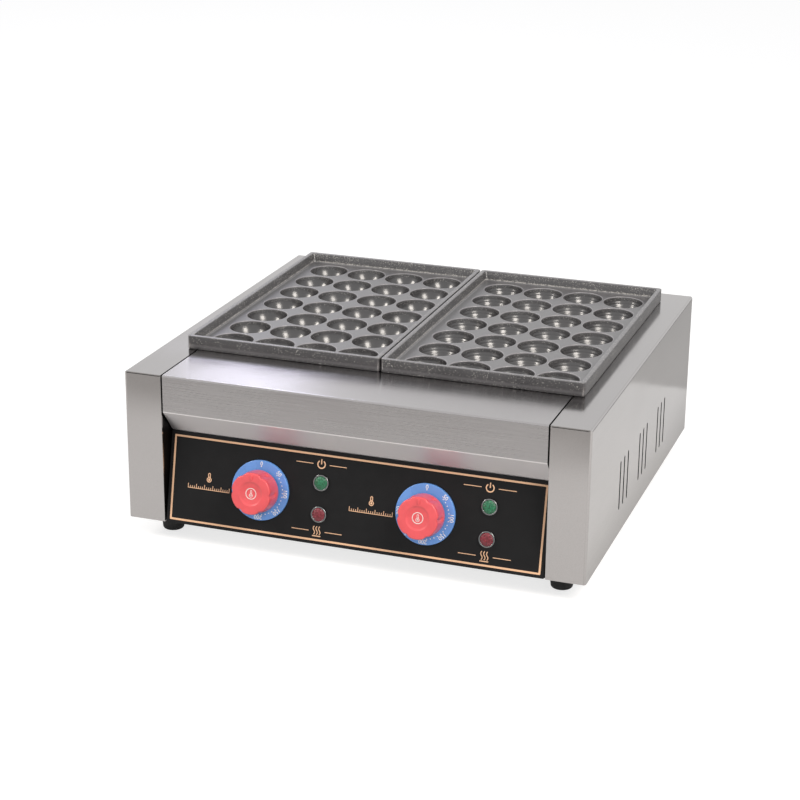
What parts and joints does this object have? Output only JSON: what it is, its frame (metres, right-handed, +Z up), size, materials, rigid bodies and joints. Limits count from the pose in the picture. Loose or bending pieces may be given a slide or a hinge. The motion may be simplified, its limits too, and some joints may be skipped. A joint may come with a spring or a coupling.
{
  "type": "takoyaki maker",
  "caption": "Electric countertop takoyaki maker: two lift-off cast plates with rows of round cups on a folded stainless steel body with a sloped front panel, knobs and indicator lamps.",
  "frame": {"origin": "on the surface the machine stands on, under the middle of its bounding box", "axes": "+Z up, -Y out of the control panel towards the cook, +X to the right as seen from the front"},
  "size_m": [0.47, 0.4893, 0.1894],
  "materials": {
    "steel": "satin brushed stainless steel",
    "pan_steel": "dull aluminised steel sheet",
    "fastener_steel": "zinc-plated",
    "spindle_steel": "turned steel",
    "heater_steel": "dark heat-stained stainless steel tube",
    "coated_casting": "dark non-stick coating with fine light speckles",
    "overlay_black": "satin black print with a gold frame",
    "dial_blue": "glossy blue with white print",
    "knob_red": "glossy red",
    "lamp_chrome": "bright chrome",
    "lens_green": "clear dark green",
    "lens_red": "clear dark red",
    "black_plastic": "matte black",
    "thermostat_plastic": "matte beige phenolic",
    "copper": "drawn copper",
    "brass": "turned brass",
    "ceramic": "matte white",
    "foot_rubber": "matte black rubber"
  },
  "bodies": {
    "housing": {"right_side_casing": "steel", "left_side_casing": "steel", "front_top_panel": "steel", "control_panel": "steel", "panel_overlay": "overlay_black", "rear_ledge": "steel", "rear_cover": "steel", "rear_screws": "fastener_steel", "base_plate": "pan_steel", "base_screws": "fastener_steel", "foot_screws": "fastener_steel", "foot_nuts": "fastener_steel", "front_left_foot": "foot_rubber", "front_right_foot": "foot_rubber", "rear_left_foot": "foot_rubber", "rear_right_foot": "foot_rubber", "heat_shield": "pan_steel", "centre_divider": "pan_steel", "heater_combs": "pan_steel", "heater_nuts": "fastener_steel", "lamp_nuts": "black_plastic", "thermostat_screws": "fastener_steel", "cable_gland": "black_plastic", "gland_locknut": "black_plastic", "earth_stud": "brass", "earth_nuts": "brass", "terminal_block": "ceramic", "terminal_screws": "brass", "left_heater": "heater_steel", "left_sensor": "copper", "left_thermostat": "thermostat_plastic", "left_dial_plate": "dial_blue", "left_power_lamp_bezel": "lamp_chrome", "left_power_lamp_lens": "lens_green", "left_power_lamp_body": "black_plastic", "left_heat_lamp_bezel": "lamp_chrome", "left_heat_lamp_lens": "lens_red", "left_heat_lamp_body": "black_plastic", "right_heater": "heater_steel", "right_sensor": "copper", "right_thermostat": "thermostat_plastic", "right_dial_plate": "dial_blue", "right_power_lamp_bezel": "lamp_chrome", "right_power_lamp_lens": "lens_green", "right_power_lamp_body": "black_plastic", "right_heat_lamp_bezel": "lamp_chrome", "right_heat_lamp_lens": "lens_red", "right_heat_lamp_body": "black_plastic"},
    "left_control": {"left_knob": "knob_red", "left_spindle": "spindle_steel"},
    "right_control": {"right_knob": "knob_red", "right_spindle": "spindle_steel"},
    "left_plate": {"left_grill_plate": "coated_casting"},
    "right_plate": {"right_grill_plate": "coated_casting"}
  },
  "joints": [
    {"name": "left_knob_turn", "type": "hinge", "parent": "housing", "child": "left_control", "pos_m": [-0.0959, -0.21975, 0.06672], "axis": [0, 0.977, -0.2133], "range_deg": [0, 280]},
    {"name": "right_knob_turn", "type": "hinge", "parent": "housing", "child": "right_control", "pos_m": [0.0743, -0.21975, 0.06672], "axis": [0, 0.977, -0.2133], "range_deg": [0, 280]},
    {"name": "left_plate_lift", "type": "slide", "parent": "housing", "child": "left_plate", "axis": [0, 0, 1], "range_m": [0, 0.08]},
    {"name": "right_plate_lift", "type": "slide", "parent": "housing", "child": "right_plate", "axis": [0, 0, 1], "range_m": [0, 0.08]}
  ]
}
